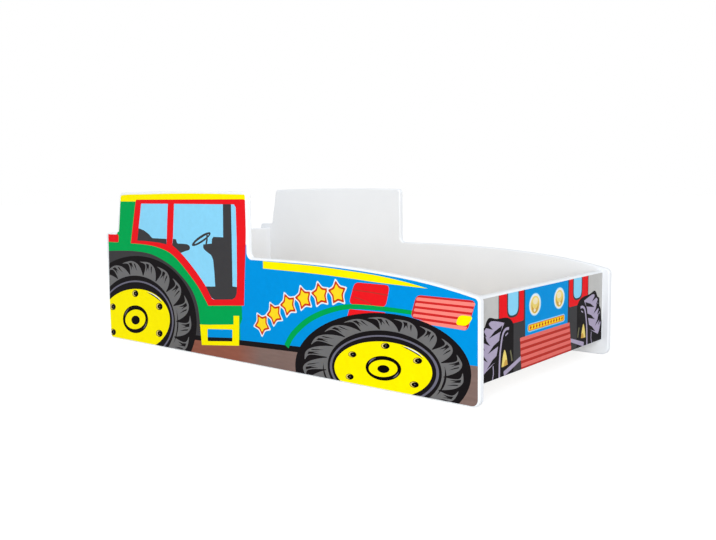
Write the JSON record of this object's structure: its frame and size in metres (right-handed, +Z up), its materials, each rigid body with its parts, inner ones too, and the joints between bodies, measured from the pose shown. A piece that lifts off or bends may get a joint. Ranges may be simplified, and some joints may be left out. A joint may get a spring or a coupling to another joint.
{
  "type": "tractor bed",
  "caption": "Child's bed with tractor-shaped printed side panels, a headboard, a printed footboard and a lift-out slatted base for a mattress.",
  "frame": {"origin": "on the floor under the middle of the bed", "axes": "+X from the head end to the tractor's front, +Y to the tractor's left side panel, +Z up"},
  "size_m": [1.71, 0.8506, 0.5785],
  "materials": {
    "white_board": "smooth white foil on fibreboard",
    "side_print": "printed film, satin",
    "front_print": "printed film, satin",
    "pine": "planed, unfinished",
    "beech": "fluted, unfinished",
    "zinc_steel": "zinc plated",
    "yellow_zinc": "yellow zinc plated",
    "zinc_cast": "cast, plain",
    "white_plastic": "moulded, satin",
    "strap_weave": "woven polyester"
  },
  "bodies": {
    "bed_frame": {"right_side_panel": "white_board", "left_side_panel": "white_board", "right_side_print": "side_print", "left_side_print": "side_print", "headboard": "white_board", "footboard": "white_board", "footboard_print": "front_print", "right_slat_rail": "pine", "left_slat_rail": "pine", "cam_bolts": "zinc_steel", "cam_discs": "zinc_cast", "cam_caps": "white_plastic", "dowels": "beech", "rail_screws": "yellow_zinc"},
    "slatted_base": {"slat_01": "pine", "slat_02": "pine", "slat_03": "pine", "slat_04": "pine", "slat_05": "pine", "slat_06": "pine", "slat_07": "pine", "slat_08": "pine", "slat_09": "pine", "slat_10": "pine", "slat_11": "pine", "slat_12": "pine", "slat_13": "pine", "right_strap": "strap_weave", "left_strap": "strap_weave", "strap_staples": "zinc_steel"}
  },
  "joints": [
    {"name": "base_lift", "type": "slide", "parent": "bed_frame", "child": "slatted_base", "axis": [0, 0, 1], "range_m": [0, 0.47]}
  ]
}
